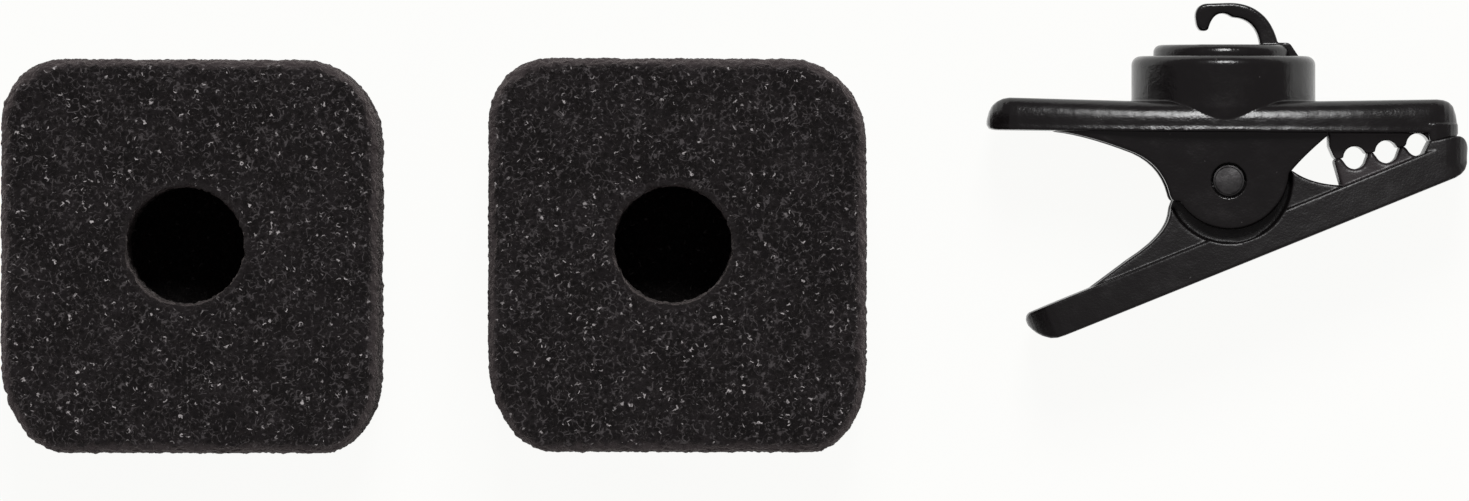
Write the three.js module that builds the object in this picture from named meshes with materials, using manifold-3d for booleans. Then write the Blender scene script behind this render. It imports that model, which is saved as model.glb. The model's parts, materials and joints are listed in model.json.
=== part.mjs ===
// Lavalier microphone accessory set: two square foam windscreens and one spring
// lapel clip with a swivelling cable hook, laid out on a flat surface.
// Millimetres. +X runs along the row, +Y up the row, +Z away from the surface.
import * as THREE from "three";
import { mergeVertices } from "three/addons/utils/BufferGeometryUtils.js";
import Module from "manifold-3d";

const wasm = await Module();
wasm.setup();

// ---- driving dimensions -------------------------------------------------------
const FOAM = {
  width: 21.9, // across the face
  height: 22.8, // up the face
  depth: 18, // from the face to the back, which lies on the surface
  // Reach of each rounded corner along and up the face, from the top right and
  // round anticlockwise: the blocks are cut from soft sheet and are not quite even.
  corners: [[4.5, 4.8], [3.4, 3.7], [3.7, 5.4], [3.3, 4.6]],
  edge: 0.9, // the soft edge around face and back
  socket: 6.9, // the hole that grips the microphone head
  socketDepth: 12,
  socketOffset: [-0.28, 0.62], // the hole sits a little off the middle
};
const ROW = {
  secondFoam: [28.3, 0.06], // from the first windscreen to the second, middle to middle
  hinge: [60.5, 4.43], // from the first windscreen to the clip's hinge axis
};
const CLIP = {
  halfWidth: 5.34, // half the clip's greatest width, which is the boss's radius
  endHalfWidth: 4.1, // half the width of the levers at their ends
  closedAngle: 22, // between the two levers, jaws shut, in degrees
  pinRadius: 0.83,
  pinFit: 0.03, // the ears turn closely on the pin
  pinHole: 1.05, // the cheeks' hole around the pin's end
  pinHalfLength: 4.15, // the pin stops just inside the cheeks' outer faces
  earInner: 2.0, // lower lever's ears, measured out from the middle plane
  earOuter: 3.1,
  earRadius: 2.75,
  webOuter: 4.15,
  cheekInner: 3.3, // upper lever's cheeks, outside the ears
  cheekOuter: 4.4,
  toothHalfWidth: 2.6,
  recess: 3.72, // round recess in the lower lever that the cheek turns in
};
const BOSS = {
  x: -0.22, // the swivel axis, from the hinge axis
  radius: CLIP.halfWidth,
  bottom: 3.6, // hidden in the upper lever
  top: 7.26,
  edge: 0.5,
  cup: 4.3, // radius of the cup that the rotor turns in
  floor: 5.4,
  stemHole: 1.4,
};
const ROTOR = {
  radius: 4.08,
  bottom: 5.6,
  top: 7.92,
  edge: 0.28,
  stem: 1.15,
  barb: 1.62, // snap barb, wider than the hole it passed through
  barbTop: 2.6,
  stemEnd: 2.0,
  slot: 0.7, // the slot that lets the stem's two halves squeeze together
  hookHalfWidth: 1.5,
};
const SPRING = { wire: 0.3, coil: 1.45, turns: 4, halfLength: 1.4 };

const ROUND = 40; // steps round a visible circle
const FINE = 24; // steps round a small hole

// ---- materials ----------------------------------------------------------------
const foam = () => new THREE.MeshStandardMaterial({ color: 0x252325, roughness: 1, metalness: 0 });
const plastic = () =>
  new THREE.MeshStandardMaterial({ color: 0x1c1b1b, roughness: 0.42, metalness: 0 });
const steel = (color) =>
  new THREE.MeshStandardMaterial({ color, roughness: 0.35, metalness: 1 });

// ---- solids -------------------------------------------------------------------
function solid(geometry) {
  const bare = geometry.index ? geometry.toNonIndexed() : geometry.clone();
  for (const name of Object.keys(bare.attributes)) {
    if (name !== "position") bare.deleteAttribute(name);
  }
  const merged = mergeVertices(bare, 1e-4);
  return new wasm.Manifold(
    new wasm.Mesh({
      numProp: 3,
      vertProperties: new Float32Array(merged.attributes.position.array),
      triVerts: new Uint32Array(merged.index.array),
    }),
  );
}

function piece(name, shape, material) {
  const { numProp, vertProperties, triVerts } = shape.getMesh();
  const positions = new Float32Array((vertProperties.length / numProp) * 3);
  for (let i = 0; i < positions.length / 3; i++) {
    positions.set(vertProperties.subarray(i * numProp, i * numProp + 3), i * 3);
  }
  const geometry = new THREE.BufferGeometry();
  geometry.setAttribute("position", new THREE.BufferAttribute(positions, 3));
  geometry.setIndex(new THREE.BufferAttribute(new Uint32Array(triVerts), 1));
  const flat = geometry.toNonIndexed();
  flat.computeVertexNormals();
  const mesh = new THREE.Mesh(flat, material);
  mesh.name = name;
  return mesh;
}

// A closed outline from z = low to z = high.
function prism(outline, low, high, curveSegments = 6) {
  const geometry = new THREE.ExtrudeGeometry(outline, {
    depth: high - low,
    bevelEnabled: false,
    curveSegments,
  });
  return solid(geometry.translate(0, 0, low));
}

// The same outline on both sides of the clip's middle plane.
function pair(outline, inner, outer, curveSegments) {
  return prism(outline, inner, outer, curveSegments).add(
    prism(outline, -outer, -inner, curveSegments),
  );
}

function polygon(points) {
  return new THREE.Shape(points.map(([x, y]) => new THREE.Vector2(x, y)));
}

// A round bar along Z.
function barZ(radius, low, high, x = 0, y = 0, sides = FINE) {
  const geometry = new THREE.CylinderGeometry(radius, radius, high - low, sides);
  return solid(geometry.rotateX(Math.PI / 2).translate(x, y, (low + high) / 2));
}

// A turned shape about an axis along Y.
function turned(profile, x = 0, sides = ROUND) {
  const points = profile.map(([r, y]) => new THREE.Vector2(r, y));
  return solid(new THREE.LatheGeometry(points, sides).translate(x, 0, 0));
}

// Profile of a disc with a quarter-round top edge.
function discProfile(radius, bottom, top, edge) {
  const points = [[0, bottom], [radius, bottom]];
  for (let step = 0; step <= 3; step++) {
    const angle = (step / 3) * (Math.PI / 2);
    points.push([radius - edge + edge * Math.cos(angle), top - edge + edge * Math.sin(angle)]);
  }
  points.push([0, top]);
  return points;
}

// ---- foam windscreens ---------------------------------------------------------
function windscreenBlock() {
  const { width, height, depth, corners, edge } = FOAM;
  const [x, y] = [width / 2 - edge, height / 2 - edge];
  const outline = new THREE.Shape();
  corners.forEach(([reachX, reachY], quarter) => {
    const [rx, ry] = [reachX - edge, reachY - edge];
    const start = (quarter * Math.PI) / 2;
    const sideX = quarter === 0 || quarter === 3 ? 1 : -1;
    const sideY = quarter < 2 ? 1 : -1;
    const [cx, cy] = [sideX * (x - rx), sideY * (y - ry)];
    outline.absellipse(cx, cy, rx, ry, start, start + Math.PI / 2);
  });
  const geometry = new THREE.ExtrudeGeometry(outline, {
    depth: depth - 2 * edge,
    bevelThickness: edge,
    bevelSize: edge,
    bevelSegments: 3,
    curveSegments: 7,
  });
  const block = solid(geometry.translate(0, 0, edge));
  const [sx, sy] = FOAM.socketOffset;
  const socket = barZ(FOAM.socket / 2, depth - FOAM.socketDepth, depth + 1, sx, sy, 32);
  return block.subtract(socket);
}

// ---- clip: outlines seen from the side, hinge axis at 0, 0 ----------------------
// The levers' plan is a long spindle: widest at the hinge, narrower at both ends.
function leverPlan(tail, jaw, angle) {
  const { halfWidth: mid, endHalfWidth: end } = CLIP;
  const round = 1.6;
  const plan = new THREE.Shape();
  plan.moveTo(tail + round, -end);
  plan.quadraticCurveTo(tail * 0.5, -mid, 0, -mid);
  plan.quadraticCurveTo(jaw * 0.5, -mid, jaw - round, -end);
  plan.quadraticCurveTo(jaw, -end, jaw, -end + round);
  plan.lineTo(jaw, end - round);
  plan.quadraticCurveTo(jaw, end, jaw - round, end);
  plan.quadraticCurveTo(jaw * 0.5, mid, 0, mid);
  plan.quadraticCurveTo(tail * 0.5, mid, tail + round, end);
  plan.quadraticCurveTo(tail, end, tail, end - round);
  plan.lineTo(tail, -end + round);
  plan.quadraticCurveTo(tail, -end, tail + round, -end);
  const geometry = new THREE.ExtrudeGeometry(plan, {
    depth: 24,
    bevelEnabled: false,
    curveSegments: 8,
  });
  geometry.translate(0, 0, -12);
  geometry.rotateX(Math.PI / 2);
  geometry.rotateZ(THREE.MathUtils.degToRad(angle));
  return solid(geometry);
}

// Three round holes run along the jaw line, half in each jaw.
const JAW_HOLES = [
  [7.41, 1.33],
  [9.27, 1.68],
  [11.09, 2.09],
];
const JAW_HOLE_RADIUS = 0.68;
const JAW_GAP = 0.03; // between the teeth of the shut jaws

// Tooth line from the mouth of the jaws to the nose, y at a given x.
function jawLine(x) {
  return 1.24 + 0.19 * (x - 6.3);
}

// A narrow block under each plate, its meeting edge notched by the holes.
function toothBlock(points) {
  const width = CLIP.toothHalfWidth;
  let teeth = prism(polygon(points), -width, width);
  for (const [x, y] of JAW_HOLES) {
    teeth = teeth.subtract(barZ(JAW_HOLE_RADIUS, -6, 6, x, y, 20));
  }
  return teeth;
}

function upperLever() {
  const side = new THREE.Shape();
  side.moveTo(-13.84, 3.03);
  side.quadraticCurveTo(-14.1, 3.25, -14.0, 3.6);
  side.quadraticCurveTo(-13.8, 4.85, -12.9, 4.83);
  side.lineTo(-5.6, 4.61);
  side.lineTo(5.1, 4.6);
  side.lineTo(12.3, 4.71);
  side.quadraticCurveTo(13.1, 4.68, 13.3, 3.9);
  side.lineTo(13.44, 2.85);
  side.lineTo(13.3, 2.6 + JAW_GAP);
  side.lineTo(11.8, jawLine(11.8) + JAW_GAP);
  side.lineTo(11.6, 2.88);
  let lever = prism(side, -6, 6).intersect(leverPlan(-14.1, 13.5, 0));

  // Cheeks: thin webs under the plate, each ending in a round lobe on the hinge pin.
  const cheek = new THREE.Shape();
  cheek.moveTo(-11.2, 3.3);
  cheek.lineTo(-11.1, 3.0);
  cheek.quadraticCurveTo(-8.3, 2.7, -5.5, 1.58);
  cheek.quadraticCurveTo(-4.0, 0.8, -3.5, -0.75);
  cheek.quadraticCurveTo(-3.35, -1.3, -2.85, -1.2);
  cheek.absarc(0.08, 0.58, 3.42, Math.PI + 0.55, 2 * Math.PI - 0.05);
  cheek.lineTo(3.6, 0.46);
  cheek.quadraticCurveTo(4.3, 1.42, 5.86, 2.72);
  cheek.lineTo(5.9, 3.3);
  lever = lever.add(pair(cheek, CLIP.cheekInner, CLIP.cheekOuter, 9));

  const teeth = toothBlock([
    [5.9, 3.4],
    [5.94, 2.0],
    [6.2, 1.4],
    [6.34, jawLine(6.34) + JAW_GAP],
    [11.9, jawLine(11.9) + JAW_GAP],
    [11.9, 3.4],
  ]);
  lever = lever.add(teeth);

  // Round boss on top, a cup for the rotor, and the hole that its stem snaps through.
  const { radius, bottom, top, edge, cup, floor, stemHole } = BOSS;
  lever = lever.add(turned(discProfile(radius, bottom, top, edge), BOSS.x));
  lever = lever.subtract(turned([[0, floor], [cup, floor], [cup, top + 1], [0, top + 1]], BOSS.x));
  lever = lever.subtract(turned([[0, 2], [stemHole, 2], [stemHole, 6], [0, 6]], BOSS.x, FINE));
  return lever.subtract(barZ(CLIP.pinHole, -6, 6));
}

function lowerLever() {
  const side = new THREE.Shape();
  side.moveTo(-11.62, -7.79);
  side.quadraticCurveTo(-11.7, -8.3, -11.32, -8.66);
  side.quadraticCurveTo(-10.6, -9.5, -9.68, -9.08);
  side.lineTo(13.3, 0.22);
  side.quadraticCurveTo(14.0, 0.5, 13.97, 1.14);
  side.quadraticCurveTo(13.95, 2.5, 13.4, 2.54);
  side.lineTo(11.8, jawLine(11.8) - 0.02);
  side.lineTo(11.6, 1.6);
  side.lineTo(-8.0, -6.28);
  const plan = leverPlan(-15.0, 14.15, CLIP.closedAngle);
  let lever = prism(side, -6, 6).intersect(plan);

  // The cheeks turn in a round recess on both sides.
  const recess = barZ(CLIP.recess, 3.2, 7, 0, 0, ROUND).add(
    barZ(CLIP.recess, -7, -3.2, 0, 0, ROUND),
  );
  const web = new THREE.Shape();
  web.moveTo(-8.3, -6.6);
  web.lineTo(-8.0, -6.27);
  web.lineTo(-5.81, -4.64);
  web.quadraticCurveTo(-3.3, -3.05, -3.38, -1.6);
  web.lineTo(-3.0, -0.6);
  web.lineTo(3.6, 0.62);
  web.quadraticCurveTo(4.7, -0.25, 6.6, -0.32);
  web.lineTo(7.4, -0.6);
  web.lineTo(2.0, -3.2);
  lever = lever.add(pair(web, CLIP.earInner, CLIP.webOuter, 8)).subtract(recess);

  // Ears on the pin, inside the cheeks, standing on the plate.
  const ears = pair(
    polygon([[-2.75, 0], [2.75, 0], [3.2, -2.4], [-3.0, -4.4]]),
    CLIP.earInner,
    CLIP.earOuter,
  );
  lever = lever.add(ears);
  for (const sign of [-1, 1]) {
    const [low, high] = [sign * CLIP.earInner, sign * CLIP.earOuter].sort((a, b) => a - b);
    lever = lever.add(barZ(CLIP.earRadius, low, high, 0, 0, ROUND));
  }

  const teeth = toothBlock([
    [11.9, 1.4],
    [6.9, -0.6],
    [6.64, -0.3],
    [6.2, jawLine(6.2)],
    [11.9, jawLine(11.9)],
  ]);
  lever = lever.add(teeth);
  return lever.subtract(barZ(CLIP.pinRadius + CLIP.pinFit, -6, 6));
}

function hingePin() {
  const { pinRadius: r, pinHalfLength: half } = CLIP;
  const bevel = 0.15;
  const profile = [[0, -half], [r - bevel, -half], [r, -half + bevel]];
  profile.push([r, half - bevel], [r - bevel, half], [0, half]);
  const points = profile.map(([x, y]) => new THREE.Vector2(x, y));
  return solid(new THREE.LatheGeometry(points, FINE).rotateX(Math.PI / 2));
}

// Torsion spring on the pin: a straight leg under each handle, joined by the coil.
function torsionSpring() {
  const { wire, coil, turns, halfLength } = SPRING;
  const ends = [new THREE.Vector2(-6.2, 2.35), new THREE.Vector2(-5.8, -4.93)];
  const bearing = (end) => Math.atan2(end.y, end.x);
  const offset = (end) => Math.acos(coil / end.length());
  const start = bearing(ends[0]) - offset(ends[0]);
  const stop = bearing(ends[1]) + offset(ends[1]) - 2 * Math.PI * turns;
  const points = [new THREE.Vector3(ends[0].x, ends[0].y, -halfLength)];
  const steps = 16 * turns;
  for (let i = 0; i <= steps; i++) {
    const angle = start + ((stop - start) * i) / steps;
    const z = halfLength * ((2 * i) / steps - 1);
    points.push(new THREE.Vector3(coil * Math.cos(angle), coil * Math.sin(angle), z));
  }
  points.push(new THREE.Vector3(ends[1].x, ends[1].y, halfLength));
  const path = new THREE.CatmullRomCurve3(points, false, "centripetal");
  const section = new THREE.Shape().absarc(0, 0, wire, 0, 2 * Math.PI);
  return solid(
    new THREE.ExtrudeGeometry(section, {
      extrudePath: path,
      steps: 110,
      curveSegments: 4,
      bevelEnabled: false,
    }),
  );
}

// Rotor: a disc with a snap-in stem below and an open cable hook on top.
function cableHook() {
  const { radius, bottom, top, edge, stem, barb, barbTop, stemEnd, slot } = ROTOR;
  const snap = [
    [0, stemEnd],
    [stem - 0.1, stemEnd],
    [barb, barbTop - 0.2],
    [barb, barbTop],
    [stem, barbTop],
    [stem, bottom + 0.5],
    [0, bottom + 0.5],
  ];
  let rotor = turned(discProfile(radius, bottom, top, edge), BOSS.x);
  const slit = new THREE.BoxGeometry(slot, 3, 6).translate(BOSS.x, stemEnd + 1.4, 0);
  rotor = rotor.add(turned(snap, BOSS.x, FINE).subtract(solid(slit)));

  const hook = new THREE.Shape();
  hook.moveTo(3.0, 7.7);
  hook.quadraticCurveTo(2.7, 9.2, 1.9, 9.8);
  hook.quadraticCurveTo(1.25, 10.34, 0.2, 10.38);
  hook.lineTo(-1.3, 10.33);
  hook.quadraticCurveTo(-1.85, 10.25, -1.87, 9.6);
  hook.lineTo(-1.8, 9.1);
  hook.lineTo(-1.62, 8.8);
  hook.lineTo(-1.18, 8.8);
  hook.quadraticCurveTo(-0.95, 9.8, -0.3, 9.8);
  hook.quadraticCurveTo(0.0, 9.76, 0.2, 9.55);
  hook.quadraticCurveTo(1.75, 9.5, 1.88, 7.7);
  const half = ROTOR.hookHalfWidth;
  const buttress = polygon([[2.4, 7.42], [4.04, 7.42], [3.66, 7.99], [2.4, 7.99]]);
  return rotor.add(prism(hook, -half, half, 5)).add(prism(buttress, -half, half));
}

// ---- the set, laid out ----------------------------------------------------------
function clip() {
  const group = new THREE.Group();
  group.add(
    piece("upper_lever", upperLever(), plastic()),
    piece("lower_lever", lowerLever(), plastic()),
    piece("hinge_pin", hingePin(), steel(0x6b6a6a)),
    piece("torsion_spring", torsionSpring(), steel(0x8d8c8a)),
    piece("cable_hook", cableHook(), plastic()),
  );
  group.position.set(...ROW.hinge, CLIP.halfWidth);
  return group;
}

function windscreens() {
  const group = new THREE.Group();
  const left = piece("windscreen_left", windscreenBlock(), foam());
  const right = piece("windscreen_right", windscreenBlock(), foam());
  right.position.set(...ROW.secondFoam, 0);
  group.add(left, right);
  return group;
}

const set = new THREE.Group();
set.add(windscreens(), clip());
set.updateMatrixWorld(true);

// The origin is the middle of the whole row, on the surface it lies on.
const box = new THREE.Box3().setFromObject(set, true);
set.position.set(-(box.min.x + box.max.x) / 2, -(box.min.y + box.max.y) / 2, -box.min.z);

export default set;
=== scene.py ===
# %% [markdown]
# # Two foam windscreens and a rotating lapel clip
# These are the small parts that go with a lavalier microphone: two square foam blocks that are pushed
# over the capsule, and a spring clip with a turning cable hook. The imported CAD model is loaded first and
# never changed. Each new piece is modelled around it, stands for one CAD node and rides on its body.

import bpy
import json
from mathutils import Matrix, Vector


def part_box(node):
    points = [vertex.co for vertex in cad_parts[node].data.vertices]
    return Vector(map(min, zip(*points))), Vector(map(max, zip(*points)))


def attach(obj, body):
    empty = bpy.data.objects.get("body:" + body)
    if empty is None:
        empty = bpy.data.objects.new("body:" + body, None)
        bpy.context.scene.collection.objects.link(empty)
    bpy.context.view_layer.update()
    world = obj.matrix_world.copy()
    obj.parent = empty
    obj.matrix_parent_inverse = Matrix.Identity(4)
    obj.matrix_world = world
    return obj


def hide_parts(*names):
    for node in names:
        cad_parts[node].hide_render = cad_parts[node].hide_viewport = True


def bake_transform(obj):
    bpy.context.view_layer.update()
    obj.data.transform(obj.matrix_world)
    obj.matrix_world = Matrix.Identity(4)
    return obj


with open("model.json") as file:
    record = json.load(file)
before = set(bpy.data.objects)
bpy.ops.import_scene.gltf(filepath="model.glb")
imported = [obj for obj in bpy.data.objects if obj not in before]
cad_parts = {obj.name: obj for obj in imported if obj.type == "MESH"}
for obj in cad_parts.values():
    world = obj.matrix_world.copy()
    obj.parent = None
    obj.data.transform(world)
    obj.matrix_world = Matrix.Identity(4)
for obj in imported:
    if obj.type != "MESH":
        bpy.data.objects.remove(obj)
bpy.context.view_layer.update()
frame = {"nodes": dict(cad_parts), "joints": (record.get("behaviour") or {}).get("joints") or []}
print("nodes:", sorted(frame["nodes"]))

# %% [markdown]
# ## Units and places
# Blender's remesher can't go below 0.1 units, which is too coarse for a clip of 28 mm in metres. So each
# piece is modelled in millimetres about its own middle, and settled into metres at the end. The hinge
# axis and the swivel axis come from the joints of the frame, so every piece lands on its CAD node.

# %% Places taken from the frame
import json
import math

import bpy
from mathutils import Matrix, Vector

MM = 0.001
ORIGIN = (0.0, 0.0, 0.0)
joints = {joint["name"]: joint for joint in frame["joints"]}
hinge = Vector(joints["jaw_open"]["pos_m"])
swivel_x = (joints["hook_swivel"]["pos_m"][0] - hinge.x) / MM
print("hinge at", tuple(round(value / MM, 2) for value in hinge), "mm, swivel", round(swivel_x, 2))

# %% [markdown]
# ## Camera
# The parts lie flat and are seen from straight above, with no visible perspective. A long lens far away
# does that, and it isn't so long that the camera loses the parts when it is carried round to the sides.
# Its aim is the middle of the row, moved down a little, as the hook comes close to the frame's top.

# %% Camera straight above
LENS = 520.0
SENSOR = 36.0
VIEW_WIDTH = 85.7 * MM  # the row nearly fills the frame
VIEW_PLANE = 11 * MM  # height above the floor at which the view is that wide
aim = Vector((-0.13 * MM, -1.37 * MM, VIEW_PLANE))
distance = VIEW_WIDTH * LENS / SENSOR
bpy.ops.object.camera_add(location=aim + Vector((0, 0, distance)), rotation=ORIGIN)
camera = bpy.context.object
camera.name = "row_camera"
camera.data.lens = LENS
camera.data.sensor_width = SENSOR
bpy.context.scene.camera = camera
print("camera", round(distance, 2), "m above the row")

# %% [markdown]
# ## Floor, light and surroundings
# Black parts on white need two kinds of light. The floor glows a little, like a light table, so that it
# stays white and takes only faint shadows. One small, near softbox, a third of the way down from
# overhead, draws the narrow highlights along the clip's edges. The surroundings stay dim, or black
# plastic would turn grey.

# %% Softbox, dim surroundings and a white light-table floor
SOFTBOX_TILT = math.radians(34)  # from straight above towards the top of the row
SOFTBOX_DISTANCE = 1.0
SOFTBOX_ASIDE = 0.035  # over the clip, which stands at the right end of the row
SOFTBOX_SIZE = (0.26, 0.34)
SOFTBOX_WATTS = 5.9
ROOM_TINT = (1.0, 0.94, 0.96, 1)
ROOM_STRENGTH = 0.21
PAPER_TINT = (1.0, 1.0, 0.985, 1)
PAPER_GLOW = 0.945
FLOOR_SIZE = 3.0

place = Vector((0, math.sin(SOFTBOX_TILT), math.cos(SOFTBOX_TILT))) * SOFTBOX_DISTANCE
place.x = SOFTBOX_ASIDE
bpy.ops.object.light_add(type="AREA", location=place, rotation=(-SOFTBOX_TILT, 0, 0))
softbox = bpy.context.object
softbox.name = "softbox"
softbox.data.shape = "RECTANGLE"
softbox.data.size, softbox.data.size_y = SOFTBOX_SIZE
softbox.data.energy = SOFTBOX_WATTS

world = bpy.data.worlds.new("dim_room")
bpy.context.scene.world = world
world.use_nodes = True
world.node_tree.nodes["Background"].inputs["Color"].default_value = ROOM_TINT
world.node_tree.nodes["Background"].inputs["Strength"].default_value = ROOM_STRENGTH

bpy.ops.mesh.primitive_plane_add(size=FLOOR_SIZE, location=ORIGIN)
floor = bpy.context.object
floor.name = "floor"
paper = bpy.data.materials.new("white_paper")
paper.use_nodes = True
paper_shader = paper.node_tree.nodes["Principled BSDF"]
paper_shader.inputs["Base Color"].default_value = (0.05, 0.05, 0.05, 1)
paper_shader.inputs["Roughness"].default_value = 0.9
paper_shader.inputs["Specular IOR Level"].default_value = 0.1
paper_shader.inputs["Emission Color"].default_value = PAPER_TINT
paper_shader.inputs["Emission Strength"].default_value = PAPER_GLOW
floor.data.materials.append(paper)
bpy.context.scene.view_settings.view_transform = "Standard"
print("softbox", SOFTBOX_SIZE, "m at", tuple(round(value, 2) for value in place))

# %% [markdown]
# ## Working by operator
# Operators act on what is selected and active. These helpers clear the selection, choose faces or edges
# by where they are, and apply a modifier in one step, so that each piece below reads as a short recipe.


# %% Selecting, picking and applying modifiers
CLOSE = 0.01  # nearer than this, in millimetres, two places count as the same


def deselect_all():
    if bpy.context.mode != "OBJECT":
        bpy.ops.object.mode_set(mode="OBJECT")
    bpy.ops.object.select_all(action="DESELECT")


def select_only(*pieces):
    deselect_all()
    for piece in pieces:
        piece.select_set(True)
    bpy.context.view_layer.objects.active = pieces[0]


def pick_faces(piece, wanted):
    """Edit mode, with only the faces selected whose middle and normal are wanted."""
    select_only(piece)
    bpy.ops.object.mode_set(mode="EDIT")
    bpy.ops.mesh.select_mode(type="FACE")
    bpy.ops.mesh.select_all(action="DESELECT")
    bpy.ops.object.mode_set(mode="OBJECT")
    for face in piece.data.polygons:
        face.select = wanted(face.center, face.normal)
    bpy.ops.object.mode_set(mode="EDIT")


def pick_edges(piece, wanted):
    """Edit mode, with only the edges selected whose two ends are both wanted."""
    select_only(piece)
    bpy.ops.object.mode_set(mode="EDIT")
    bpy.ops.mesh.select_mode(type="EDGE")
    bpy.ops.mesh.select_all(action="DESELECT")
    bpy.ops.object.mode_set(mode="OBJECT")
    points = piece.data.vertices
    for edge in piece.data.edges:
        edge.select = all(wanted(points[end].co) for end in edge.vertices)
    bpy.ops.object.mode_set(mode="EDIT")


def apply_modifier(piece, kind, **settings):
    select_only(piece)
    bpy.ops.object.modifier_add(type=kind)
    modifier = piece.modifiers[-1]
    for setting, value in settings.items():
        setattr(modifier, setting, value)
    bpy.ops.object.modifier_apply(modifier=modifier.name)


def cut(piece, *tools):
    """Takes the tools' shapes out of the piece, and puts the tools away."""
    for tool in tools:
        apply_modifier(piece, "BOOLEAN", operation="DIFFERENCE", solver="EXACT", object=tool)
        bpy.data.objects.remove(tool)


def settle(piece, place):
    """Brings a piece from millimetres about its own middle to metres in its place."""
    select_only(piece)
    piece.scale = (MM, MM, MM)
    piece.location = place
    bpy.ops.object.transform_apply(location=True, rotation=True, scale=True)
    print(piece.name, "has", len(piece.data.polygons), "faces")


# %% [markdown]
# ## Outlines
# A flat moulded shape is easiest to draw as it looks from its side, point by point with extrude, then to
# fill and give a thickness. Straight steps are one point each, and a bow is given by the point that
# pulls it and the point where it ends, so an outline holds only what its shape needs.

# %% Drawing, filling and thickening an outline
BOW_STEPS = 7


def trace(steps):
    """The points of an outline: a step is a point, or a bow's pull and end."""
    points = [Vector((*steps[0], 0))]
    for step in steps[1:]:
        if isinstance(step[0], tuple):
            start, pull, end = points[-1], Vector((*step[0], 0)), Vector((*step[1], 0))
            for count in range(1, BOW_STEPS + 1):
                t = count / BOW_STEPS
                points.append(start * (1 - t) ** 2 + pull * 2 * t * (1 - t) + end * t * t)
        else:
            points.append(Vector((*step, 0)))
    return points


def arc(middle, radii, start, stop, count):
    """Points on an ellipse from one angle to another, in degrees, as outline steps."""
    angles = [math.radians(start + (stop - start) * i / count) for i in range(count + 1)]
    return [(middle[0] + radii[0] * math.cos(a), middle[1] + radii[1] * math.sin(a)) for a in angles]


def draw(name, points):
    """A chain of edges through the points, left in edit mode."""
    deselect_all()
    bpy.ops.mesh.primitive_plane_add(size=1, location=ORIGIN)
    piece = bpy.context.object
    piece.name = name
    bpy.ops.object.mode_set(mode="EDIT")
    bpy.ops.mesh.select_mode(type="VERT")
    bpy.ops.mesh.merge(type="CENTER")  # a plane merged to one point is where the chain starts
    bpy.ops.transform.translate(value=points[0])
    for before, after in zip(points, points[1:]):
        bpy.ops.mesh.extrude_region_move(TRANSFORM_OT_translate={"value": after - before})
    bpy.ops.mesh.select_all(action="SELECT")
    return piece


def slab(name, steps, low, high, soft=0.0, soft_steps=3):
    """An outline filled and thickened from z = low to z = high, with its rims softened."""
    piece = draw(name, [point + Vector((0, 0, low)) for point in trace(steps)])
    bpy.ops.mesh.edge_face_add()
    bpy.ops.mesh.extrude_region_move(TRANSFORM_OT_translate={"value": (0, 0, high - low)})
    bpy.ops.mesh.select_all(action="SELECT")
    bpy.ops.mesh.normals_make_consistent(inside=False)
    bpy.ops.object.mode_set(mode="OBJECT")
    if soft:
        for height in (low, high):
            pick_edges(piece, lambda point: abs(point.z - height) < CLOSE)
            bpy.ops.mesh.bevel(offset=soft, segments=soft_steps, affect="EDGES")
            bpy.ops.object.mode_set(mode="OBJECT")
    return piece


def rod(name, radius, low, high, middle=(0.0, 0.0), sides=64):
    """A round bar along Z, used for holes and pins."""
    deselect_all()
    place = (middle[0], middle[1], (low + high) / 2)
    bpy.ops.mesh.primitive_cylinder_add(vertices=sides, radius=radius, depth=high - low, location=place)
    bpy.ops.object.transform_apply(location=True, rotation=True, scale=True)
    bpy.context.object.name = name
    return bpy.context.object


print("outline tools ready:", trace.__name__, draw.__name__, slab.__name__, rod.__name__)

# %% [markdown]
# ## Foam blocks
# Each windscreen is cut from a sheet of soft open-cell foam and drilled for the capsule. Its corners are
# uneven, so the outline is drawn with a quarter ellipse at each, thickened, softened round its rims and
# drilled. A remesh then spreads even faces all over, which the next step needs to press pores into it.

# %% The block, drilled and remeshed
FOAM_CORNERS = [(4.5, 4.8), (3.4, 3.7), (3.7, 5.4), (3.3, 4.6)]  # reaches, anticlockwise from top right
FOAM_EDGE = 0.9
SOCKET_RADIUS = 3.45
SOCKET_DEPTH = 12.0
SOCKET_MIDDLE = (-0.28, 0.62)
PAST_FACE = 1.0  # how far the drill starts outside the face
FOAM_VOXEL = 0.105
PORE_ROOM = 0.1  # the pores' struts swell the faces by about this much


def foam_block(name, node):
    """A plain drilled block about the middle of its back, and the place of that middle."""
    low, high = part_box(node)
    size = (high - low) / MM
    steps = []
    for quarter, (reach_x, reach_y) in enumerate(FOAM_CORNERS):
        side_x = 1 if quarter in (0, 3) else -1
        side_y = 1 if quarter < 2 else -1
        middle = (side_x * (size.x / 2 - reach_x), side_y * (size.y / 2 - reach_y))
        steps += arc(middle, (reach_x, reach_y), 90 * quarter, 90 * quarter + 90, 10)
    block = slab(name, steps, PORE_ROOM, size.z - PORE_ROOM, soft=FOAM_EDGE, soft_steps=5)
    floor_height = size.z - SOCKET_DEPTH
    cut(block, rod("socket_drill", SOCKET_RADIUS, floor_height, size.z + PAST_FACE, SOCKET_MIDDLE, 96))
    apply_modifier(block, "REMESH", mode="VOXEL", voxel_size=FOAM_VOXEL)
    middle = (low + high) / 2
    print(name, "is", tuple(round(value, 1) for value in size), "mm")
    return block, Vector((middle.x, middle.y, low.z))


# %% [markdown]
# ## Pores
# Foam is a net of struts round open cells. A large, faint cloud pattern first makes the cut face a little
# uneven, a cell pattern then leaves struts standing between pits, and a small cloud pattern breaks the
# struts up. The depth is real geometry, so the outline is ragged as well.

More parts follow.
